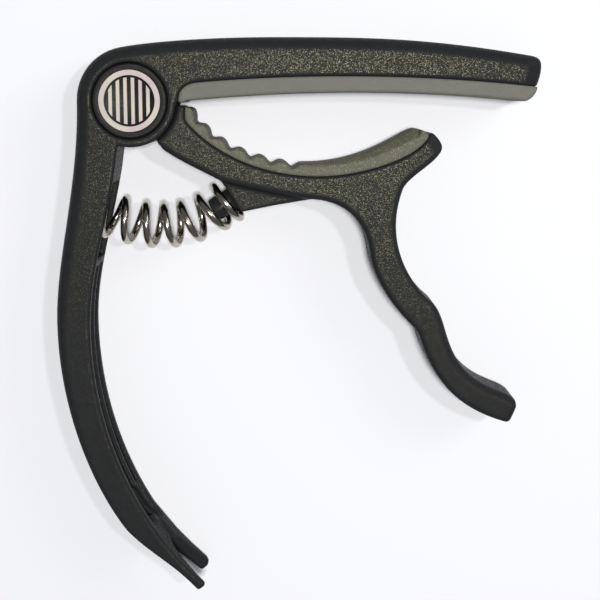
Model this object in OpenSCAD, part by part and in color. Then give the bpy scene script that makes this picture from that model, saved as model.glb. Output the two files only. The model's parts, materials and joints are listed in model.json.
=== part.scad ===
// Spring-loaded guitar capo with a bridge-pin puller, lying on its side.
// Z runs through the thickness. X runs along the string bar, Y from the handle up to the bar.

/* [Overall] */
// Thickness of the frame, side to side
frame_t = 12; // [10:0.5:15]
// Thickness of the lever, side to side
lever_t = 11.4; // [9.4:0.1:11.8]

/* [Frame] */
// Distance from the pivot to the free end of the bar
bar_reach = 71.5; // [68:0.5:76]
// Height of the bar's back above the pivot
bar_rise = 10.9; // [10.4:0.1:12]
// Distance from the pivot to the outermost point of the handle
handle_bow = 13.8; // [12.5:0.1:15]
// Distance from the pivot down to the fork tips
handle_drop = 88.7; // [87:0.1:92]
// Thickness of each pivot ear
ear_t = 3.3; // [3:0.1:3.6]
// Radius of the round pivot ears
ear_r = 8; // [7.6:0.1:8.2]
// Thickness of the two rims along the handle's inner side
rim_t = 2; // [1.6:0.1:2.4]
// Thickness of the centre rib between the rims
rib_t = 1.6; // [1.2:0.1:2]

/* [Pin puller fork] */
// Width of the slot at its mouth
slot_mouth = 9.2; // [8.4:0.1:9.4]
// Width of the slot at its root
slot_root = 4.8; // [4.4:0.1:6]

/* [Pivot] */
// Outer radius of the pivot barrel
barrel_r = 2.5; // [2:0.05:3]
// Radial clearance between the barrel and its bores
pivot_gap = 0.05; // [0.02:0.01:0.1]
// Radius of the lever's knuckle
knuckle_r = 7.4; // [6.6:0.1:7.4]
// Thickness of a thrust washer
washer_t = 0.3; // [0.2:0.05:0.4]
// Radius of the round recess in each ear
recess_r = 6.6; // [6.2:0.1:6.8]
// Depth of the round recess in each ear
recess_d = 1.8; // [1.6:0.1:1.8]

/* [Spring] */
// Diameter of the spring wire
wire_d = 1.3; // [1:0.05:1.4]
// Mean diameter of the coil
coil_d = 7.25; // [6.8:0.05:7.6]
// Number of turns
coil_turns = 6.95; // [6.15:0.05:7.75]

/* [Pads] */
// Depth of the key that holds each pad in its casting
key_d = 1; // [0.6:0.1:1.2]
// Width of the key that holds each pad in its casting
key_w = 3; // [2:0.5:5]
// Number of ridges on the neck pad
ridges = 6; // [4:1:8]

/* [Hidden] */
$fn = 96;
mid_z = frame_t / 2;
// Offset that puts the origin under the middle of the whole capo
origin_x = (bar_reach - handle_bow) / 2;
origin_y = (bar_rise - handle_drop) / 2;
// Gap in the frame for the lever's knuckle
knuckle_gap_r = 7.7;
lever_gap = 0.3;
lever_z = (frame_t - lever_t) / 2;
knuckle_z = ear_t + washer_t + 0.05;
knuckle_t = frame_t - 2 * knuckle_z;
// Parts stacked in each ear's recess, outwards from its floor
floor_z = frame_t - recess_d;
tape_t = 0.15;
cap_t = 1.5;
cap_r = recess_r - 0.1;
cap_hollow_r = 4.4;
cap_hollow_d = 1;
emblem_r = 5.3;
emblem_sink = 0.2;
emblem_t = 0.25;
ring_w = 0.9;
bar_w = 0.6;
bar_pitch = 1.3;
head_t = 1;
screw_head_r = 3.6;
barrel_head_r = 3.8;
thread_r = 1.45;
barrel_end_z = floor_z - 0.2;
thread_end_z = 4.5;
// Cross slot in the screw's head
cross_len = 3.2;
cross_w = 0.7;
cross_d = 0.7;
// Spring seat in the handle and spring boss under the lever
seat = [-7.6, -19.3];
seat_dir = [0.96, -0.28];
boss = [17.7, -17.2];
boss_dir = [0.848, 0.53];
boss_w = 9;
stud_r = 2.1;
stud_len = 4.3;
pocket_w = 9.2;
pocket_up = 5.9;
pocket_down = 8;
pocket_d = 3;
wire_sides = 8;
wire_steps = 20;
// Middle of the window through the handle's centre rib
rib_window = [0.3, -73.4];
rib_window_size = [6, 2.4];
// Root of the fork, and the angle at which the fork runs
fork_root = [5.7, -80.6];
fork_angle = -48.7;
fork_len = 10;
// Squared end of the prongs: its middle, its half width and the radius of its corners
tip = [11.1, 0.95 - handle_drop];
tip_half = 0.5;
tip_r = 0.45;
tip_out = 0.235;
// How far the back prong stands out past the front one, over how many of the inner side's points, how
// fast that grows towards the tip, how deep the added strip is sunk into the casting, and its height
broad = 0.8;
broad_points = 13;
broad_growth = 1.3;
broad_sink = 0.6;
broad_h = 4.7;

// Points along a cubic curve from a to d, without the last one
function bez(a, b, c, d, n) = [for (i = [0 : n - 1]) bez_at(a, b, c, d, i / n)];
function bez_at(a, b, c, d, t) =
    a * pow(1 - t, 3) + 3 * b * t * pow(1 - t, 2) + 3 * c * t * t * (1 - t) + d * pow(t, 3);
// Points along an arc, without the last one
function arc(centre, r, from, to, n) =
    [for (i = [0 : n - 1]) centre + r * [cos(from + (to - from) * i / n), sin(from + (to - from) * i / n)]];
function heading(angle) = [cos(angle), sin(angle)];
function reversed(list) = [for (i = [len(list) - 1 : -1 : 0]) list[i]];
function moved(list, by) = [for (p = list) p + by];
function part_of(list, from, to) = [for (i = [from : to]) list[i]];

// Seat of the string pad, from the pivot end to the free end of the bar
bar_seat_corner = bez([8.4, -0.3], [8.2, 1.6], [9.4, 3.1], [12.2, 3.2], 8);
bar_seat_run = concat(bez([12.2, 3.2], [31, 4.8], [52, 4.5], [bar_reach - 0.8, 2.4], 24),
    [[bar_reach - 0.8, 2.4]]);
bar_seat = concat(bar_seat_corner, bar_seat_run);

// Seat of the neck pad, from the pivot end to the tip of the jaw
jaw_seat_run = concat(bez([9.5, -3.3], [12.2, -6.9], [20.1, -13.1], [32.7, -13.1], 20),
    bez([32.7, -13.1], [39.8, -13.1], [49.9, -10.2], [52, -6.1], 14));
jaw_seat = concat([[9.5, -0.9]], jaw_seat_run, [[52, -6.1]]);

// Inner side of the handle, from the fork tips up to the ear
handle_inner = concat(
    bez([12, -handle_drop + 1.2], [4.7, -81.3], [-7.8, -64.6], [-7.8, -40], 28),
    bez([-7.8, -40], [-7.8, -30.2], [-4.2, -21.3], [-2.4, -9.5], 18));

// Strip that makes the back prong broader than the front one, sunk into it along its inner edge
broad_prong = concat([handle_inner[0] + broad / 2 * heading(40)],
    [for (i = [1 : 3 : broad_points - 3])
        handle_inner[i] + broad * min(1, broad_growth * (1 - i / broad_points)) * heading(40)],
    [for (i = [broad_points : -6 : 1]) handle_inner[i] - broad_sink * heading(40)]);

frame_outline = concat(
    bez([bar_reach - 0.8, 2.4], [bar_reach - 0.3, 3.6], [bar_reach, 4.8], [bar_reach, 6], 5),
    bez([bar_reach, 6], [bar_reach, 7.1], [bar_reach - 0.6, 7.6], [bar_reach - 2, 7.8], 6),
    bez([bar_reach - 2, 7.8], [51, bar_rise], [41, bar_rise], [25, bar_rise], 16),
    bez([25, bar_rise], [15.7, bar_rise], [4.5, 10.3], [-1.5, 9.2], 12),
    arc([0, 0], 9.32, 99.3, 180, 12),
    bez([-9.32, 0], [-9.32, -14.6], [-handle_bow, -27.5], [-handle_bow, -39], 24),
    bez([-handle_bow, -39], [-handle_bow, -56.3], [-7.2, -70.6], [-2, -77.4], 24),
    bez([-2, -77.4], [2, -81.7], [6.2, -83.7], [10.2, 0.5 - handle_drop], 10),
    arc(tip + tip_half * heading(220) + tip_out * heading(310), tip_r, 208, 310, 5),
    arc(tip + tip_half * heading(40) + tip_out * heading(310), tip_r, 310, 373, 4),
    handle_inner,
    [[-2.2, -7.6], [0, -2], [7.6, -0.3]],
    bar_seat_corner,
    part_of(bar_seat_run, 0, 23));

// Floor of the two grooves along the handle's inner side
groove_outline = concat(
    bez([-9.6, -29.7], [-11.6, -43], [-10.4, -58], [0, -74.2], 24),
    bez([0, -74.2], [0.9, -75.6], [1.6, -76.4], [3.4, -77.4], 6),
    [[3.4, -77.4], [10, -66], [-3, -40], [-3, -28.5]]);

// Solid that runs from z = low to z = high
module slab(low, high) {
    translate([0, 0, low]) linear_extrude(high - low) children();
}

// Same thing on both sides of the capo
module both_sides() {
    children();
    translate([0, 0, frame_t]) mirror([0, 0, 1]) children();
}

// Everything is drawn around the pivot and moved here to the part's origin
module placed() {
    translate([-origin_x, -origin_y, 0]) children();
}

// Key that runs along a pad's seat, from one of the seat's points to another
module pad_key(run, from, to, depth) {
    edge = part_of(run, from, to);
    slab(mid_z - key_w / 2, mid_z + key_w / 2)
        polygon(concat(edge, reversed(moved(edge, [0, depth]))));
}

// Tapered slot between the prongs, with a round root
module fork_slot() {
    translate([fork_root.x, fork_root.y, mid_z]) rotate([0, 0, fork_angle]) rotate([90, 0, 0])
        linear_extrude(16, center = true) {
            polygon([[slot_root / 2, -slot_root / 2], [fork_len, -slot_mouth / 2],
                [fork_len + 3, -slot_mouth / 2], [fork_len + 3, slot_mouth / 2],
                [fork_len, slot_mouth / 2], [slot_root / 2, slot_root / 2]]);
            translate([slot_root / 2, 0]) circle(r = slot_root / 2);
        }
}

// Pocket in the handle's inner side that holds the end of the spring
module spring_pocket() {
    angle = atan2(seat_dir.y, seat_dir.x);
    translate([seat.x, seat.y, mid_z]) rotate([0, 0, angle])
        translate([0, -pocket_down, -pocket_w / 2]) cube([2 * pocket_d, pocket_down + pocket_up, pocket_w]);
}

// Space between the ears that the lever's knuckle and web swing through
module knuckle_space() {
    slab(ear_t, frame_t - ear_t) {
        circle(r = knuckle_gap_r);
        intersection() {
            circle(r = ear_r + lever_gap);
            polygon([[0, 0], [12, -0.36], [12, -12], [-1.9, -12]]);
        }
    }
}

module frame() {
    color([0.16, 0.16, 0.15]) placed() difference() {
        union() {
            difference() {
                union() {
                    slab(0, frame_t) polygon(frame_outline);
                    slab(0, broad_h) polygon(broad_prong);
                    cylinder(h = frame_t, r = ear_r);
                }
                knuckle_space();
                spring_pocket();
                both_sides() slab(rim_t, mid_z - rib_t / 2) polygon(groove_outline);
                slab(mid_z - rib_t / 2 - 0.1, mid_z + rib_t / 2 + 0.1)
                    translate(rib_window) rotate(-59) square(rib_window_size, center = true);
                fork_slot();
                pad_key(bar_seat_run, 2, 22, key_d);
            }
            translate([seat.x, seat.y, mid_z]) rotate([0, 0, atan2(seat_dir.y, seat_dir.x)])
                rotate([0, 90, 0]) translate([0, 0, -1]) cylinder(h = 2.4, r = stud_r);
        }
        translate([0, 0, -1]) cylinder(h = frame_t + 2, r = barrel_r + pivot_gap);
        both_sides() translate([0, 0, -1]) cylinder(h = recess_d + 1, r = recess_r);
    }
}

lever_outline = concat(
    [[6, -0.8], [9.5, -0.8]],
    jaw_seat_run,
    [[52, -6.1], [52.2, -5.4]],
    bez([52.8, -5.6], [53.6, -6.4], [54.8, -7.6], [54.3, -8.6], 6),
    bez([54.3, -8.6], [53.1, -11], [48.7, -13], [47.6, -15.2], 10),
    bez([47.6, -15.2], [44.7, -23.1], [47.5, -30.2], [52.2, -34.8], 18),
    bez([52.2, -34.8], [57, -37.7], [53.8, -47.3], [65, -51.6], 16),
    bez([65, -51.6], [69.3, -53.2], [69, -53.8], [67.9, -56.2], 8),
    bez([67.9, -56.2], [67.5, -57.3], [67.2, -57.6], [66.5, -57.4], 4),
    bez([66.5, -57.4], [57.3, -54.7], [53.4, -49.3], [51, -42.1], 16),
    bez([51, -42.1], [50.7, -41], [50.3, -40.5], [49.5, -39.7], 4),
    bez([49.5, -39.7], [46.7, -37], [43.4, -32.9], [42, -27.7], 10),
    bez([42, -27.7], [41.4, -20.6], [37.2, -17.4], [31.7, -17.1], 12),
    bez([31.7, -17.1], [25, -16.3], [20.4, -15.1], [15.7, -13.9], 6),
    bez([15.7, -13.9], [12.4, -12.1], [6.9, -9.8], [4.1, -7.2], 6),
    [[3, -5]]);

boss_outline = [[14.5, -13], [15.7, -14], [19.1, -19.4], [25, -18.2], [31.7, -17.1], [31, -15]];

web_outline = [[4, -0.8], [9.3, -0.8], [9.3, -4], [12, -8], [8.4, -9.6], [4.6, -7.3], [2.5, -5.5]];

module lever() {
    color([0.16, 0.16, 0.15]) placed() {
        difference() {
            union() {
                difference() {
                    slab(lever_z, frame_t - lever_z) polygon(lever_outline);
                    translate([0, 0, -1]) cylinder(h = frame_t + 2, r = ear_r + lever_gap);
                }
                slab(knuckle_z, frame_t - knuckle_z) {
                    circle(r = knuckle_r);
                    polygon(web_outline);
                }
                slab(mid_z - boss_w / 2, mid_z + boss_w / 2) polygon(boss_outline);
                translate([boss.x, boss.y, mid_z]) rotate([0, 0, atan2(boss_dir.y, boss_dir.x)])
                    rotate([0, -90, 0]) translate([0, 0, -1]) cylinder(h = stud_len + 1, r = stud_r);
            }
            translate([0, 0, -1]) cylinder(h = frame_t + 2, r = barrel_r + pivot_gap);
            pad_key(jaw_seat_run, 12, 26, -key_d);
        }
    }
}

module upper_pad() {
    color([0.48, 0.48, 0.43]) placed() {
        slab(0, frame_t) polygon(concat(bar_seat,
            bez([bar_reach - 0.9, 2], [bar_reach - 1.2, 1], [bar_reach - 2, 0.1], [68.5, -0.1], 6),
            bez([68.5, -0.1], [50, 1.9], [30, 1.9], [9.8, 0], 24),
            [[9.8, 0], [9.5, -0.3]]));
        pad_key(bar_seat_run, 2, 22, key_d);
    }
}

// Ridges run down the pad's inner half, each leaning a little towards the next
ridge_points = 8;
ridge_depth = 1.05;
ridge_lean = 1.4;
function crest(t) = bez_at([10.7, -1.3], [14.4, -7.7], [22.3, -10.2], [29.6, -10.9], t);
function crest_dir(t) = let (d = crest(t + 0.01) - crest(t - 0.01)) d / norm(d);
function valley(t) = let (u = ridges * t, turn = 360 * pow(u - floor(u), ridge_lean))
    1 - pow(0.5 + 0.5 * cos(turn), 0.7);
ridge_line = [for (i = [0 : ridges * ridge_points])
    let (t = i / (ridges * ridge_points), d = crest_dir(t)) crest(t) + ridge_depth * valley(t) * [d.y, -d.x]];

module lower_pad() {
    color([0.44, 0.44, 0.37]) placed() {
        slab(lever_z, frame_t - lever_z) polygon(concat(jaw_seat,
            bez([51.6, -5.5], [50.8, -4.8], [49.6, -4.6], [48.9, -5.1], 5),
            bez([48.9, -5.1], [46.1, -6.4], [39.7, -11.1], [29.6, -10.9], 18),
            reversed(ridge_line)));
        pad_key(jaw_seat_run, 12, 26, -key_d);
    }
}

// Middle line of the spring, from its seat in the handle to the lever's boss
seat_lift = 0.05;
spring_line = [seat + seat_dir * (wire_d / 2 + seat_lift), [2.3, -22.6], [8.3, -23.8],
    boss - boss_dir * (wire_d / 2 + seat_lift)];
spring_len = 26.5;
closed = 0.9;
// Pitch of the last turn at each end
seat_pitch = 3.1;
boss_pitch = wire_d + 0.05;

// Share of the spring's length reached after some turns; the end turns lie closer
function climb(turn) =
    let (first = closed * seat_pitch / spring_len, last = closed * boss_pitch / spring_len)
    turn < closed ? first * turn / closed
    : turn > coil_turns - closed ? 1 - last * (coil_turns - turn) / closed
    : first + (1 - first - last) * (turn - closed) / (coil_turns - 2 * closed);

function line_at(t) = bez_at(spring_line[0], spring_line[1], spring_line[2], spring_line[3], t);
function line_dir(t) = let (d = line_at(t + 0.01) - line_at(t - 0.01)) d / norm(d);
function coil_point(turn, r) =
    let (t = climb(turn), p = line_at(t), d = line_dir(t), a = turn * 360 - 90)
    [p.x - d.y * r * cos(a), p.y + d.x * r * cos(a), mid_z + r * sin(a)];
function coil_dir(turn) = let (d = coil_point(turn + 0.01, coil_d / 2) - coil_point(turn - 0.01, coil_d / 2))
    d / norm(d);
function out_dir(turn) = let (d = coil_point(turn, coil_d / 2) - coil_point(turn, 0)) d / norm(d);

module spring() {
    rings = round(coil_turns * wire_steps);
    last = rings * wire_sides;
    points = [for (i = [0 : rings], k = [0 : wire_sides - 1])
        let (turn = i / wire_steps, out = out_dir(turn), side = cross(coil_dir(turn), out))
        coil_point(turn, coil_d / 2)
            + wire_d / 2 * (out * cos(360 * k / wire_sides) + side * sin(360 * k / wire_sides))];
    sides = [for (i = [0 : rings - 1], k = [0 : wire_sides - 1])
        let (a = i * wire_sides + k, b = i * wire_sides + (k + 1) % wire_sides)
        [a, b, b + wire_sides, a + wire_sides]];
    ends = [[for (k = [0 : wire_sides - 1]) wire_sides - 1 - k],
        [for (k = [0 : wire_sides - 1]) last + k]];
    color([0.75, 0.74, 0.7]) placed() polyhedron(points, [for (f = concat(sides, ends)) reversed(f)]);
}

module pivot_barrel() {
    color([0.7, 0.7, 0.68]) placed() difference() {
        union() {
            translate([0, 0, recess_d - head_t]) cylinder(h = head_t, r = barrel_head_r);
            translate([0, 0, recess_d]) cylinder(h = barrel_end_z - recess_d, r = barrel_r);
        }
        translate([0, 0, thread_end_z - 1]) cylinder(h = frame_t, r = thread_r + 0.05);
    }
}

module pivot_screw() {
    color([0.7, 0.7, 0.68]) placed() difference() {
        union() {
            translate([0, 0, thread_end_z]) cylinder(h = floor_z - thread_end_z, r = thread_r);
            translate([0, 0, floor_z]) cylinder(h = head_t, r = screw_head_r);
        }
        for (a = [0, 90]) rotate(a) translate([-cross_len / 2, -cross_w / 2, floor_z + head_t - cross_d])
            cube([cross_len, cross_w, 2]);
    }
}

module washer(z) {
    color([0.85, 0.84, 0.8]) placed() translate([0, 0, z]) difference() {
        cylinder(h = washer_t, r = knuckle_r - 0.6);
        translate([0, 0, -1]) cylinder(h = 2, r = barrel_r + 0.1);
    }
}

module washer_front() { washer(frame_t - ear_t - washer_t); }
module washer_back() { washer(ear_t); }

module cap_tape(z) {
    color([0.8, 0.78, 0.7]) placed() translate([0, 0, z]) difference() {
        cylinder(h = tape_t, r = cap_r - 0.2);
        translate([0, 0, -1]) cylinder(h = 2, r = cap_hollow_r);
    }
}

module cap_tape_front() { cap_tape(floor_z); }
module cap_tape_back() { cap_tape(recess_d - tape_t); }

// Cap seen from its own underside, which faces the ear
module cap() {
    color([0.05, 0.05, 0.05]) difference() {
        cylinder(h = cap_t, r = cap_r);
        translate([0, 0, -1]) cylinder(h = cap_hollow_d + 1, r = cap_hollow_r);
        translate([0, 0, cap_t - emblem_sink]) cylinder(h = 1, r = emblem_r + 0.05);
    }
}

// Plain emblem: a ring around six bars, like strings across a sound hole
module emblem() {
    color([0.78, 0.75, 0.7]) linear_extrude(emblem_t) {
        difference() {
            circle(r = emblem_r);
            circle(r = emblem_r - ring_w);
        }
        intersection() {
            circle(r = emblem_r - ring_w - 0.4);
            for (i = [0 : 5]) translate([(i - 2.5) * bar_pitch, 0])
                square([bar_w, 2 * emblem_r], center = true);
        }
    }
}

// Stands something on the tape in the front or the back recess
module in_recess(front, up) {
    placed() translate([0, 0, front ? floor_z + tape_t + up : recess_d - tape_t - up])
        mirror([0, 0, front ? 0 : 1]) children();
}

module cap_front() { in_recess(true, 0) cap(); }
module cap_back() { in_recess(false, 0) cap(); }
module emblem_front() { in_recess(true, cap_t - emblem_sink) emblem(); }
module emblem_back() { in_recess(false, cap_t - emblem_sink) emblem(); }

frame();
lever();
upper_pad();
lower_pad();
spring();
pivot_barrel();
pivot_screw();
washer_front();
washer_back();
cap_tape_front();
cap_tape_back();
cap_front();
cap_back();
emblem_front();
emblem_back();
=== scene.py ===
"""Looks of the guitar capo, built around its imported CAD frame.

The castings and pads are rebuilt from their own CAD nodes as signed distance fields, so that their
edges can be rounded as a die casting's and a moulding's are. Lengths are in millimetres until a mesh
is made, which is in metres.
"""
import json
import math

import bmesh
import bpy
import numpy as np
import openvdb as vdb
from mathutils import Matrix, Vector


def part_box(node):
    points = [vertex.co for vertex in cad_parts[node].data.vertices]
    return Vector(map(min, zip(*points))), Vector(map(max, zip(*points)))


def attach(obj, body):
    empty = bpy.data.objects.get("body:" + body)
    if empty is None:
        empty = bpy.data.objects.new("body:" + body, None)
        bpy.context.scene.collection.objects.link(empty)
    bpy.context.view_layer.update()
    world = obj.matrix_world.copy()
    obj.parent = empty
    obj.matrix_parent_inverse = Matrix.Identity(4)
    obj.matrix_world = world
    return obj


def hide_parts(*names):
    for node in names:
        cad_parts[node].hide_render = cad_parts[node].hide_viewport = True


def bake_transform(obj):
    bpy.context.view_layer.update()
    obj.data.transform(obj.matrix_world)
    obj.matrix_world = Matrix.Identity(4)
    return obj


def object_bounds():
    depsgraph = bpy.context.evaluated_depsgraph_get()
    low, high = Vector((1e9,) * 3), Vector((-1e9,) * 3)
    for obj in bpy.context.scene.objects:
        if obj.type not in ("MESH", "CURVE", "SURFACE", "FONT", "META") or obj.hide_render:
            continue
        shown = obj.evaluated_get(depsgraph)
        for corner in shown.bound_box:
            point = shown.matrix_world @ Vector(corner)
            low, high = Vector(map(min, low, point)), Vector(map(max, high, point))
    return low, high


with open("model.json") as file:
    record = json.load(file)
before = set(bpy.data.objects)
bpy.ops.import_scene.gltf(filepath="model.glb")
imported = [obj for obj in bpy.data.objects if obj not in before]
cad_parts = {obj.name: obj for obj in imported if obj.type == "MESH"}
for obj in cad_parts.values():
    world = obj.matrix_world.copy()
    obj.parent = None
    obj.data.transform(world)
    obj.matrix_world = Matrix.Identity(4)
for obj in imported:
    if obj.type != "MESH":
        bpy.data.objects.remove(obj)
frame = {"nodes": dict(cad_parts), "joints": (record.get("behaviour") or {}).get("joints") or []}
cad_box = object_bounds()

MM = 0.001
PIVOT = np.array(frame["joints"][0]["pos_m"]) / MM
TOP = cad_box[1].z / MM
MIDDLE = TOP / 2
# A point in the gap between the two pads, which both of their seats face
MOUTH = PIVOT[:2] + np.array([33, -2])
# Radius of an edge that is almost sharp
SHARP = 0.3
# A distance so far inside that it never wins over a field's own
DEEP = -9

# ---------------------------------------------------------------- camera


def make_camera():
    """Almost straight down on the capo, from above the bar, as the photograph looks at it."""
    data = bpy.data.cameras.new("camera")
    data.sensor_width = 36
    data.lens = 76.8
    camera = bpy.data.objects.new("camera", data)
    bpy.context.collection.objects.link(camera)
    eye = Vector((-3.2, 39.9, 235.5)) * MM
    target = Vector((0.6, 4.1, 12)) * MM
    back = (eye - target).normalized()
    right = Vector((0, 1, 0)).cross(back).normalized()
    up = back.cross(right)
    camera.matrix_world = Matrix([[right[i], up[i], back[i], eye[i]] for i in range(3)] + [[0, 0, 0, 1]])
    bpy.context.scene.camera = camera


make_camera()

# ---------------------------------------------------------------- meshes from distance fields


def cad_mesh(node):
    """Corner points in millimetres, and triangles, of a CAD node."""
    mesh = frame["nodes"][node].data
    mesh.calc_loop_triangles()
    points = np.empty(len(mesh.vertices) * 3)
    mesh.vertices.foreach_get("co", points)
    triangles = np.empty(len(mesh.loop_triangles) * 3, dtype=np.int32)
    mesh.loop_triangles.foreach_get("vertices", triangles)
    return points.reshape(-1, 3) / MM, triangles.reshape(-1, 3)


def top_outline(node):
    """The outer loop of a node's upper flat face, as points in X and Y."""
    points, triangles = cad_mesh(node)
    keys = np.round(points, 3)
    welded, index = np.unique(keys, axis=0, return_inverse=True)
    faces = index.reshape(-1)[triangles]
    top = keys[:, 2].max()
    flat = faces[(np.abs(welded[faces][:, :, 2] - top) < 0.002).all(axis=1)]
    edges = dict.fromkeys(edge for a, b, c in flat.tolist() for edge in ((a, b), (b, c), (c, a)))
    follow = {a: b for a, b in edges if (b, a) not in edges}
    loops = []
    while follow:
        start, here = next(iter(follow.items()))
        loop = [start]
        del follow[start]
        while here != start:
            loop.append(here)
            here = follow.pop(here)
        loops.append(welded[loop][:, :2])
    return max(loops, key=lambda loop: np.ptp(loop[:, 0]) * np.ptp(loop[:, 1]))


def outline_field(loop, x, y):
    """Signed distance to a closed outline, and the outward normal of its nearest edge."""
    best = np.full(x.shape, np.inf)
    normal = np.zeros(x.shape + (2,))
    inside = np.zeros(x.shape, bool)
    area = np.sum(loop[:, 0] * np.roll(loop[:, 1], -1) - np.roll(loop[:, 0], -1) * loop[:, 1])
    turn = 1 if area > 0 else -1
    for (ax, ay), (bx, by) in zip(loop, np.roll(loop, -1, axis=0)):
        dx, dy = bx - ax, by - ay
        length2 = dx * dx + dy * dy
        if length2 < 1e-9:
            continue
        t = np.clip(((x - ax) * dx + (y - ay) * dy) / length2, 0, 1)
        gap = (x - ax - t * dx) ** 2 + (y - ay - t * dy) ** 2
        nearer = gap < best
        best[nearer] = gap[nearer]
        normal[nearer] = np.array([dy, -dx]) * turn / math.sqrt(length2)
        if ay != by:
            crosses = ((ay > y) != (by > y)) & (x < dx * (y - ay) / dy + ax)
            inside ^= crosses
    distance = np.sqrt(best)
    return np.where(inside, -distance, distance), normal


class Field:
    """A box of voxels holding the signed distance to a CAD node, in millimetres."""

    def __init__(self, node, voxel, margin=1.2, band=4):
        points, triangles = cad_mesh(node)
        self.transform = vdb.createLinearTransform(voxel)
        low = np.floor((points.min(axis=0) - margin) / voxel).astype(int)
        high = np.ceil((points.max(axis=0) + margin) / voxel).astype(int)
        self.low = tuple(int(v) for v in low)
        grid = vdb.FloatGrid.createLevelSetFromPolygons(
            points.astype(np.float32), triangles=triangles.astype(np.uint32),
            transform=self.transform, halfWidth=band)
        self.value = np.full(tuple(high - low), band * voxel, dtype=np.float32)
        grid.copyToArray(self.value, ijk=self.low)
        axes = [(np.arange(n) + start) * voxel for n, start in zip(self.value.shape, self.low)]
        self.x, self.y = np.meshgrid(axes[0], axes[1], indexing="ij")
        self.z = axes[2]

    def soften(self, passes):
        """Blurs the field a little, which rounds every edge that is still sharp."""
        for _ in range(passes):
            for axis in range(3):
                layers = np.moveaxis(self.value, axis, 0)
                layers[1:-1] = (layers[:-2] + 2 * layers[1:-1] + layers[2:]) / 4

    def mesh(self, name):
        """The surface where the field is 0, as an object."""
        grid = vdb.FloatGrid(float(self.value.max()))
        grid.transform = self.transform
        grid.gridClass = vdb.GridClass.LEVEL_SET
        grid.copyFromArray(self.value, ijk=self.low)
        points, quads = grid.convertToQuads(isovalue=0)
        return mesh_object(name, points, quads[:, ::-1].tolist())


def mesh_object(name, points_mm, faces):
    """A smooth-shaded object from points in millimetres."""
    mesh = bpy.data.meshes.new(name)
    mesh.from_pydata((np.asarray(points_mm, float) * MM).tolist(), [], faces)
    mesh.update()
    mesh.validate()
    mesh.shade_smooth()
    thing = bpy.data.objects.new(name, mesh)
    bpy.context.collection.objects.link(thing)
    return thing


def round_edges(field, node, radius_at, half_thickness):
    """Rounds the edges between a plate's sides and its two faces, with a radius that may vary."""
    distance, normal = outline_field(top_outline(node), field.x, field.y)
    radius = radius_at(field.x, field.y, normal)
    side = (distance + radius)[:, :, None]
    face = np.abs(field.z - MIDDLE)[None, None, :] - half_thickness + radius[:, :, None]
    corner = np.hypot(np.maximum(side, 0), np.maximum(face, 0)) - radius[:, :, None]
    corner = np.where(face > 0, corner, DEEP).astype(np.float32)
    np.maximum(field.value, corner, out=field.value)


def slope_end(field, half_thickness, corner, heading, run, drop):
    """Slopes both faces down to an end. The fall starts run before the corner and is drop deep there."""
    beyond = (field.x - corner[0]) * heading[0] + (field.y - corner[1]) * heading[1] + run
    face = np.abs(field.z - MIDDLE)[None, None, :] - half_thickness
    slope = (beyond[:, :, None] * drop + face * run) / np.hypot(run, drop)
    np.maximum(field.value, slope.astype(np.float32), out=field.value)


# ---------------------------------------------------------------- materials


def new_material(name):
    material = bpy.data.materials.new(name)
    material.use_nodes = True
    tree = material.node_tree
    return material, tree, tree.nodes["Principled BSDF"]


def node(tree, kind, **settings):
    """A new shader node with some of its settings changed."""
    made = tree.nodes.new(kind)
    for key, value in settings.items():
        setattr(made, key, value)
    return made


def object_mm(tree, scale=(1, 1, 1)):
    """Object coordinates counted in millimetres, and multiplied along each axis."""
    coords = node(tree, "ShaderNodeTexCoord")
    mapping = node(tree, "ShaderNodeMapping")
    mapping.inputs["Scale"].default_value = [1000 * s for s in scale]
    tree.links.new(coords.outputs["Object"], mapping.inputs["Vector"])
    return mapping.outputs["Vector"]


def noise(tree, vector, scale, detail=2, roughness=0.5):
    made = node(tree, "ShaderNodeTexNoise")
    made.inputs["Scale"].default_value = scale
    made.inputs["Detail"].default_value = detail
    made.inputs["Roughness"].default_value = roughness
    tree.links.new(vector, made.inputs["Vector"])
    return made.outputs["Fac"]


def voronoi(tree, vector, scale):
    """Distance to the nearest cell's middle, and that cell's random colour."""
    made = node(tree, "ShaderNodeTexVoronoi")
    made.inputs["Scale"].default_value = scale
    tree.links.new(vector, made.inputs["Vector"])
    return made.outputs["Distance"], made.outputs["Color"]


def ramp(tree, value, stops):
    """Colour ramp from (position, grey or colour) stops."""
    made = node(tree, "ShaderNodeValToRGB")
    points = made.color_ramp.elements
    while len(points) < len(stops):
        points.new(0.5)
    for point, (place, colour) in zip(points, stops):
        point.position = place
        point.color = (*colour, 1) if isinstance(colour, tuple) else (colour, colour, colour, 1)
    tree.links.new(value, made.inputs["Fac"])
    return made.outputs["Color"]


def math_node(tree, operation, a, b):
    made = node(tree, "ShaderNodeMath", operation=operation)
    for socket, value in zip(made.inputs, (a, b)):
        if isinstance(value, (int, float)):
            socket.default_value = value
        else:
            tree.links.new(value, socket)
    return made.outputs[0]


def mix(tree, factor, a, b):
    """Colour a where the factor is 0 and b where it is 1. Each may be a socket or a value."""
    made = node(tree, "ShaderNodeMix", data_type="RGBA")
    for socket, value in ((made.inputs[0], factor), (made.inputs[6], a), (made.inputs[7], b)):
        if isinstance(value, tuple):
            socket.default_value = (*value, 1)
        elif isinstance(value, (int, float)):
            socket.default_value = value
        else:
            tree.links.new(value, socket)
    return made.outputs[2]


def channels(tree, colour):
    made = node(tree, "ShaderNodeSeparateColor")
    tree.links.new(colour, made.inputs[0])
    return made.outputs


def bump(tree, shader, height, strength, distance_mm):
    made = node(tree, "ShaderNodeBump")
    made.inputs["Strength"].default_value = strength
    made.inputs["Distance"].default_value = distance_mm * MM
    tree.links.new(height, made.inputs["Height"])
    tree.links.new(made.outputs["Normal"], shader.inputs["Normal"])


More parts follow.
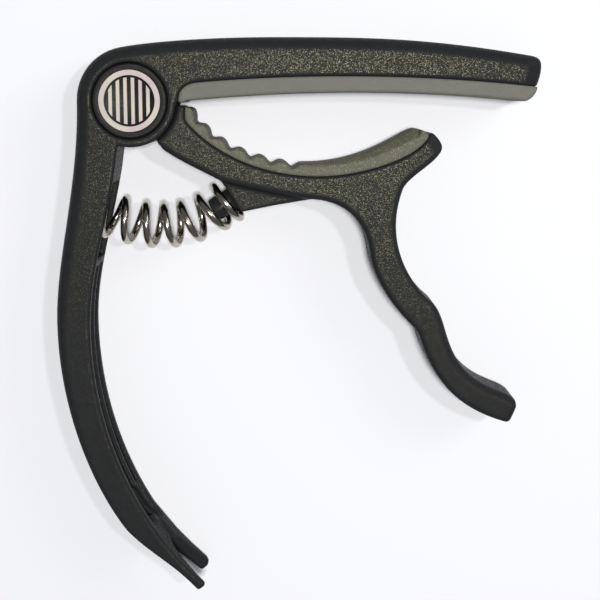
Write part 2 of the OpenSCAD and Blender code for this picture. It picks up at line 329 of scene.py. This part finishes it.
def flatness(tree, least):
    """1 on faces that look up or down, falling to least on upright walls, so that walls reflect the
    pale floor less."""
    split = node(tree, "ShaderNodeSeparateXYZ")
    tree.links.new(node(tree, "ShaderNodeNewGeometry").outputs["Normal"], split.inputs[0])
    slope = math_node(tree, "ABSOLUTE", split.outputs["Z"], 0)
    return math_node(tree, "ADD", least, math_node(tree, "MULTIPLY", slope, 1 - least))


def flecks(tree, distance, pick, glow, threshold, reach, fade):
    """1 in the middle of the picked cells of a Voronoi pattern, and the same faded by each cell's glow."""
    speck = math_node(tree, "MULTIPLY", math_node(tree, "GREATER_THAN", pick, threshold),
                      math_node(tree, "LESS_THAN", distance, reach))
    return speck, math_node(tree, "MULTIPLY", speck, math_node(tree, "POWER", glow, fade))


def powder_coat():
    """Black textured powder coat whose gold and olive dust glints near the light's mirror point."""
    material, tree, shader = new_material("powder_coat")
    where = object_mm(tree)
    distance, cell = voronoi(tree, where, 7.4)
    pick, tint, glow = channels(tree, cell)[:3]
    speck, dust = flecks(tree, distance, pick, glow, threshold=0.55, reach=0.58, fade=1.8)
    gold = ramp(tree, tint, [(0, (0.021, 0.020, 0.014)), (0.45, (0.016, 0.017, 0.014)),
                             (0.75, (0.017, 0.018, 0.018)), (1, (0.021, 0.018, 0.014))])
    base = ramp(tree, noise(tree, where, 0.9, 4, 0.6),
                [(0.3, (0.0175, 0.0184, 0.0202)), (0.7, (0.0218, 0.0229, 0.0250))])
    tree.links.new(mix(tree, dust, base, gold), shader.inputs["Base Color"])
    rough = math_node(tree, "SUBTRACT", 0.41, math_node(tree, "MULTIPLY", speck, 0.15))
    tree.links.new(rough, shader.inputs["Roughness"])
    gleam = math_node(tree, "ADD", 0.046, math_node(tree, "MULTIPLY", dust, 0.33))
    gleam = math_node(tree, "MULTIPLY", gleam, flatness(tree, 0.16))
    tree.links.new(gleam, shader.inputs["Specular IOR Level"])
    tree.links.new(mix(tree, speck, (1, 0.97, 0.7), (1, 0.94, 0.58)), shader.inputs["Specular Tint"])
    grain = noise(tree, where, 4.2, 3, 0.6)
    height = math_node(tree, "ADD", grain, math_node(tree, "MULTIPLY", distance, 0.5))
    bump(tree, shader, height, 0.27, 0.08)
    return material


def silicone(name, dark, light, specks):
    """Satin silicone rubber: faint mottling, and glitter in a share of its cells, if specks isn't 0."""
    material, tree, shader = new_material(name)
    where = object_mm(tree)
    colour = ramp(tree, noise(tree, where, 0.5, 5, 0.65), [(0.25, dark), (0.75, light)])
    if specks:
        distance, cell = voronoi(tree, where, 5.5)
        pick, glow = channels(tree, cell)[:2]
        dust = flecks(tree, distance, pick, glow, threshold=1 - specks, reach=0.45, fade=2)[1]
        colour = mix(tree, dust, colour, (0.36, 0.35, 0.25))
    tree.links.new(colour, shader.inputs["Base Color"])
    shader.inputs["Subsurface Weight"].default_value = 0.12
    shader.inputs["Subsurface Scale"].default_value = 0.0015
    gleam = math_node(tree, "MULTIPLY", 0.14, flatness(tree, 0.15))
    tree.links.new(gleam, shader.inputs["Specular IOR Level"])
    rough = ramp(tree, noise(tree, where, 3, 2), [(0.3, 0.5), (0.7, 0.6)])
    tree.links.new(rough, shader.inputs["Roughness"])
    bump(tree, shader, noise(tree, where, 5, 3, 0.6), 0.2, 0.02)
    return material


def bright_metal(name, colour, rough_low, rough_high, streak=(1, 1, 1), depth=0.01):
    """Plated or turned metal. Streak packs the fine marks closer along an axis of the object."""
    material, tree, shader = new_material(name)
    where = object_mm(tree, streak)
    marks = noise(tree, where, 4, 4, 0.7)
    shade = tuple(0.82 * c for c in colour)
    base = ramp(tree, noise(tree, where, 0.8, 3), [(0.3, shade), (0.7, colour)])
    tree.links.new(base, shader.inputs["Base Color"])
    shader.inputs["Metallic"].default_value = 1
    tree.links.new(ramp(tree, marks, [(0.3, rough_low), (0.7, rough_high)]), shader.inputs["Roughness"])
    bump(tree, shader, marks, 0.3, depth)
    return material


def plastic(name, dark, light, rough_low, rough_high, gleam=0.5):
    """Moulded plastic or tape with faint mottling and a fine grain."""
    material, tree, shader = new_material(name)
    shader.inputs["Specular IOR Level"].default_value = gleam
    where = object_mm(tree)
    base = ramp(tree, noise(tree, where, 0.7, 4), [(0.3, dark), (0.7, light)])
    tree.links.new(base, shader.inputs["Base Color"])
    rough = ramp(tree, noise(tree, where, 2, 3), [(0.3, rough_low), (0.7, rough_high)])
    tree.links.new(rough, shader.inputs["Roughness"])
    bump(tree, shader, noise(tree, where, 4, 3), 0.2, 0.01)
    return material


def pearl():
    """Pearl-silver foil that shifts between warm silver and pink."""
    material, tree, shader = new_material("pearl")
    where = object_mm(tree)
    colour = ramp(tree, noise(tree, where, 0.22, 2),
                  [(0.35, (0.50, 0.38, 0.41)), (0.5, (0.52, 0.47, 0.42)), (0.65, (0.55, 0.50, 0.40))])
    tree.links.new(colour, shader.inputs["Base Color"])
    shader.inputs["Specular IOR Level"].default_value = 0.2
    rough = ramp(tree, noise(tree, where, 6, 2), [(0.3, 0.38), (0.7, 0.5)])
    tree.links.new(rough, shader.inputs["Roughness"])
    bump(tree, shader, noise(tree, where, 8, 2), 0.2, 0.01)
    return material


COAT = powder_coat()
UPPER_RUBBER = silicone("silicone_upper", (0.148, 0.146, 0.119), (0.170, 0.168, 0.141), 0)
LOWER_RUBBER = silicone("silicone_lower", (0.108, 0.106, 0.074), (0.132, 0.130, 0.093), 0.35)
NICKEL = bright_metal("nickel", (0.50, 0.46, 0.385), 0.12, 0.24, depth=0.004)
TURNED = bright_metal("turned_steel", (0.58, 0.57, 0.54), 0.28, 0.42, streak=(1, 1, 6))
CAP_BLACK = plastic("cap_black", (0.008, 0.008, 0.007), (0.013, 0.013, 0.011), 0.36, 0.48, gleam=0.09)
NYLON = plastic("nylon", (0.58, 0.57, 0.52), (0.66, 0.65, 0.60), 0.4, 0.55)
TAPE = plastic("tape", (0.50, 0.47, 0.38), (0.58, 0.55, 0.46), 0.7, 0.85)
PEARL = pearl()


def finish_piece(thing, material, body, slot_name, *nodes):
    """Gives a piece its material and body, and hides the CAD nodes it stands for. Its slot name is not
    used.
    """
    thing.data.materials.clear()
    thing.data.materials.append(material)
    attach(thing, body)
    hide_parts(*nodes)


# ---------------------------------------------------------------- castings


def frame_radius(x, y, normal):
    """Large rounding on the sides that face away from the frame's crook, less so down the handle."""
    crook = PIVOT[:2] + np.array([20, -30])
    facing = normal[:, :, 0] * (x - crook[0]) + normal[:, :, 1] * (y - crook[1])
    down = np.clip((PIVOT[1] - 25 - y) / 55, 0, 1)
    return np.where(facing > 0, 2.3 - 1.8 * down, SHARP)


def lever_radius(x, y, normal):
    """Rounded sides, but almost sharp edges where the pad and the round ears sit against the lever."""
    to_pad = normal[:, :, 0] * (MOUTH[0] - x) + normal[:, :, 1] * (MOUTH[1] - y)
    near_mouth = np.hypot(x - MOUTH[0], y - MOUTH[1]) < 26
    near_ear = np.hypot(x - PIVOT[0], y - PIVOT[1]) < 9.2
    seat = (to_pad > 0) & near_mouth & (y > PIVOT[1] - 14.5) & (x < PIVOT[0] + 52.4)
    to_end = np.clip((normal[:, :, 0] * 0.85 + normal[:, :, 1] * 0.52 - 0.2) / 0.6, 0, 1)
    tip = to_end * ((x > PIVOT[0] + 45) & (y > PIVOT[1] - 14))
    foot = np.clip((x - PIVOT[0] - 51) / 6, 0, 1) * np.clip((PIVOT[1] - 32 - y) / 10, 0, 1)
    foot = foot * np.clip((normal[:, :, 0] * 0.4 + normal[:, :, 1] * 0.9 - 0.3) / 0.4, 0, 1)
    return np.where(seat | near_ear, SHARP, 0.85 + 0.5 * tip + 0.7 * foot)


def make_frame():
    """Frame casting, sloped at the free end of its bar."""
    field = Field("frame", 0.2)
    round_edges(field, "frame", frame_radius, TOP / 2)
    bar_end = PIVOT[:2] + np.array([71.3, 5])
    slope_end(field, TOP / 2, bar_end, heading=(0.995, -0.1), run=2.4, drop=1.0)
    field.soften(2)
    casting = field.mesh("frame_casting")
    finish_piece(casting, COAT, "frame", "powder_coat", "frame")


def make_lever():
    """Lever casting, sloped at the end of its jaw."""
    low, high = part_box("lever")
    field = Field("lever", 0.2)
    half = (high.z - low.z) / 2 / MM
    round_edges(field, "lever", lever_radius, half)
    jaw_end = PIVOT[:2] + np.array([54.8, -7.8])
    slope_end(field, half, jaw_end, heading=(0.88, 0.47), run=2.3, drop=0.9)
    field.soften(2)
    casting = field.mesh("lever_casting")
    finish_piece(casting, COAT, "lever", "powder_coat", "lever")


# ---------------------------------------------------------------- pads


def make_upper_pad():
    """String pad with softly rounded lower edges."""
    field = Field("upper_pad", 0.15)

    def radius_at(x, y, normal):
        return np.where(normal[:, :, 1] < 0.2, 0.5, 0.2)

    round_edges(field, "upper_pad", radius_at, TOP / 2)
    field.soften(2)
    finish_piece(field.mesh("string_pad"), UPPER_RUBBER, "frame", "silicone", "upper_pad")


def make_lower_pad():
    """Neck pad whose gripping face is bevelled towards both sides, more and more towards its tip."""
    field = Field("lower_pad", 0.15)
    low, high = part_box("lower_pad")
    half = (high.z - low.z) / 2 / MM
    distance, normal = outline_field(top_outline("lower_pad"), field.x, field.y)
    up = normal[:, :, 0] * (MOUTH[0] - field.x) + normal[:, :, 1] * (MOUTH[1] - field.y)
    along = np.clip((field.x - PIVOT[0] - 27) / 22, 0, 1)[:, :, None]
    inset = 0.12 + 1.9 * along
    drop = 0.75 * inset
    face = (np.abs(field.z - MIDDLE) - half)[None, None, :]
    bevel = (distance[:, :, None] * inset + face * drop + drop * inset) / np.hypot(drop, inset)
    bevel = np.where((up > 0)[:, :, None], bevel, DEEP).astype(np.float32)
    np.maximum(field.value, bevel, out=field.value)
    field.soften(3)
    finish_piece(field.mesh("neck_pad"), LOWER_RUBBER, "lever", "silicone", "lower_pad")


# ---------------------------------------------------------------- spring


# Radii of the wire and of the coil's middle line, turns in all, and turns closed at each end
WIRE_R = 0.65
COIL_R = 3.625
TURNS = 6.95
CLOSED = 0.9
# Clearance at both seats and between the closed turns at the lever, and pitch of those at the handle
CLEARANCE = 0.05
SEAT_PITCH = 3.1
# Rings of points in a turn of the wire, and points in a ring
RINGS = 48
SIDES = 20


def curve_at(points, t):
    """Point at t from 0 to 1 along a cubic curve."""
    a, b, c, d = points
    return a * (1 - t) ** 3 + 3 * b * t * (1 - t) ** 2 + 3 * c * t * t * (1 - t) + d * t ** 3


def spring_line():
    """Control points, counted from the pivot, of the spring's bowed middle line."""
    seat, seat_dir = np.array([-7.6, -19.3]), np.array([0.96, -0.28])
    boss, boss_dir = np.array([17.7, -17.2]), np.array([0.848, 0.53])
    return [seat + seat_dir * (WIRE_R + CLEARANCE), np.array([2.3, -22.6]), np.array([8.3, -23.8]),
            boss - boss_dir * (WIRE_R + CLEARANCE)]


def spring_turns(line):
    """Turns counted along the wire, and the share of the spring's length reached at each."""
    samples = np.array([curve_at(line, t) for t in np.linspace(0, 1, 200)])
    length = np.linalg.norm(np.diff(samples, axis=0), axis=1).sum()
    first, last = CLOSED * SEAT_PITCH / length, CLOSED * (2 * WIRE_R + CLEARANCE) / length
    turn = np.linspace(0, TURNS, int(TURNS * RINGS) + 1)
    share = np.interp(turn, [0, CLOSED, TURNS - CLOSED, TURNS], [0, first, 1 - last, 1])
    for _ in range(12):
        share[1:-1] = (share[:-2] + 2 * share[1:-1] + share[2:]) / 4
    return turn, share


def unit_rows(vectors):
    return vectors / np.linalg.norm(vectors, axis=1)[:, None]


def tube(path, out, radius):
    """Points and faces of a round wire along a path. Out is the way from the coil's middle line."""
    along = unit_rows(np.gradient(path, axis=0))
    out = unit_rows(out - along * (out * along).sum(axis=1)[:, None])
    across = np.cross(along, out)
    ring = np.linspace(0, 2 * math.pi, SIDES, endpoint=False)
    points = (path[:, None, :] + radius * (np.cos(ring)[None, :, None] * out[:, None, :]
                                           + np.sin(ring)[None, :, None] * across[:, None, :]))
    rows = len(path)
    faces = []
    for i in range(rows - 1):
        for k in range(SIDES):
            a, b = i * SIDES + k, i * SIDES + (k + 1) % SIDES
            faces.append([a, b, b + SIDES, a + SIDES])
    faces.append([SIDES - 1 - k for k in range(SIDES)])
    faces.append([(rows - 1) * SIDES + k for k in range(SIDES)])
    return points.reshape(-1, 3), faces


def make_spring():
    """Compression spring with closed ends, bowed between the handle and the lever."""
    line = spring_line()
    turn, share = spring_turns(line)
    centre = np.array([curve_at(line, t) for t in share])
    ahead = unit_rows(np.array([curve_at(line, t + 0.005) - curve_at(line, t - 0.005) for t in share]))
    angle = turn * 2 * math.pi - math.pi / 2
    path = np.column_stack([centre[:, 0] - ahead[:, 1] * COIL_R * np.cos(angle) + PIVOT[0],
                            centre[:, 1] + ahead[:, 0] * COIL_R * np.cos(angle) + PIVOT[1],
                            MIDDLE + COIL_R * np.sin(angle)])
    middle = np.column_stack([centre + PIVOT[:2], np.full(len(turn), MIDDLE)])
    points, faces = tube(path, (path - middle) / COIL_R, WIRE_R)
    spring = mesh_object("coil_spring", points, faces)
    spring.data.materials.append(NICKEL)
    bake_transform(spring)
    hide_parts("spring")


# ---------------------------------------------------------------- caps and emblems


def lathe(name, profile, centre, count=128):
    """A surface of revolution about Z, from a closed line of (radius, height) points."""
    points, faces = [], []
    rows = len(profile)
    for i in range(count):
        a = 2 * math.pi * i / count
        points += [(centre[0] + r * math.cos(a), centre[1] + r * math.sin(a), z) for r, z in profile]
    for i in range(count):
        j = (i + 1) % count
        for k in range(rows):
            m = (k + 1) % rows
            faces.append([i * rows + k, j * rows + k, j * rows + m, i * rows + m])
    return mesh_object(name, points, faces)


def rounded(corners, radius, steps):
    """A closed profile with each corner replaced by a short curve of some points."""
    out = []
    count = len(corners)
    for i in range(count):
        before, here, after = (np.array(corners[(i + s) % count], float) for s in (-1, 0, 1))
        start = here + (before - here) / np.linalg.norm(before - here) * radius
        end = here + (after - here) / np.linalg.norm(after - here) * radius
        for t in np.linspace(0, 1, steps):
            out.append(tuple(start * (1 - t) ** 2 + 2 * here * t * (1 - t) + end * t * t))
    return out


def weld(thing):
    """Joins points that lie together, and turns every face outwards."""
    work = bmesh.new()
    work.from_mesh(thing.data)
    bmesh.ops.remove_doubles(work, verts=work.verts, dist=1e-7)
    bmesh.ops.recalc_face_normals(work, faces=work.faces)
    work.to_mesh(thing.data)
    work.free()


def make_cap(node_name, up):
    """Round cap with a soft shoulder, a sunk middle for the emblem and a hollow underneath."""
    shoulder, sink, seat_r = 0.25, up * 0.2, 5.35
    hollow_r, hollow_d = 4.4, up * 1.0
    corner_r, corner_points = 0.06, 4
    low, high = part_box(node_name)
    base, top = (low.z / MM, high.z / MM) if up > 0 else (high.z / MM, low.z / MM)
    outer = (high.x - low.x) / 2 / MM
    corners = [(outer, base), (outer, top - up * shoulder), (outer - shoulder, top), (seat_r, top),
               (seat_r, top - sink)]
    hollow = [(hollow_r, base + hollow_d), (hollow_r, base)]
    profile = rounded(corners + hollow, corner_r, corner_points)
    split = corner_points * len(corners)
    profile = profile[:split] + [(0, top - sink), (0, base + hollow_d)] + profile[split:]
    cap = lathe(node_name + "_moulding", profile, PIVOT)
    weld(cap)
    finish_piece(cap, CAP_BLACK, "frame", "cap_black", node_name)


for make in (make_frame, make_lever, make_upper_pad, make_lower_pad, make_spring):
    make()
make_cap("cap_front", 1)
make_cap("cap_back", -1)


def dress(node_name, material):
    """Gives its material to a CAD node that shows as it is."""
    mesh = frame["nodes"][node_name].data
    mesh.materials.clear()
    mesh.materials.append(material)


for material, names in ((TURNED, ("pivot_barrel", "pivot_screw")),
                        (NYLON, ("washer_front", "washer_back")),
                        (TAPE, ("cap_tape_front", "cap_tape_back")),
                        (PEARL, ("emblem_front", "emblem_back"))):
    for name in names:
        dress(name, material)

# ---------------------------------------------------------------- floor and light


def paper():
    """Plain pale paper."""
    material, _, shader = new_material("paper")
    shader.inputs["Base Color"].default_value = (0.86, 0.86, 0.875, 1)
    shader.inputs["Roughness"].default_value = 0.9
    shader.inputs["Specular IOR Level"].default_value = 0.1
    return material


def make_floor():
    """A round sheet of paper, three metres in radius and a tenth of a millimetre under the capo."""
    work = bmesh.new()
    bmesh.ops.create_circle(work, cap_ends=True, radius=3, segments=96)
    mesh = bpy.data.meshes.new("floor")
    work.to_mesh(mesh)
    work.free()
    floor = bpy.data.objects.new("floor", mesh)
    floor.location.z = cad_box[0].z - 0.1 * MM
    bpy.context.collection.objects.link(floor)
    mesh.materials.append(paper())


def area_light(name, place_mm, target_mm, size_mm, power):
    """A round lamp that looks at a target."""
    data = bpy.data.lights.new(name, "AREA")
    data.shape = "DISK"
    data.size = size_mm * MM
    data.energy = power
    light = bpy.data.objects.new(name, data)
    light.location = Vector(place_mm) * MM
    light.rotation_mode = "QUATERNION"
    light.rotation_quaternion = (Vector(place_mm) - Vector(target_mm)).to_track_quat("Z", "Y")
    bpy.context.collection.objects.link(light)


def make_world():
    """Pale to the camera, and dimmer as a light, so that bright metal keeps some contrast."""
    world = bpy.data.worlds.new("studio")
    bpy.context.scene.world = world
    world.use_nodes = True
    tree = world.node_tree
    shade = tree.nodes["Background"]
    shade.inputs["Strength"].default_value = 1
    path = node(tree, "ShaderNodeLightPath")
    colour = mix(tree, path.outputs["Is Camera Ray"], (0.14, 0.145, 0.16), (0.92, 0.92, 0.93))
    tree.links.new(colour, shade.inputs["Color"])


make_floor()
make_world()
area_light("key", (24, 50, 600), (0, 0, 0), 80, 2.85)
area_light("window", (205, 125, 600), (0, 0, 0), 40, 0.6)
area_light("side", (420, 260, 330), (0, 0, 0), 300, 0.5)
bpy.context.scene.view_settings.view_transform = "Standard"
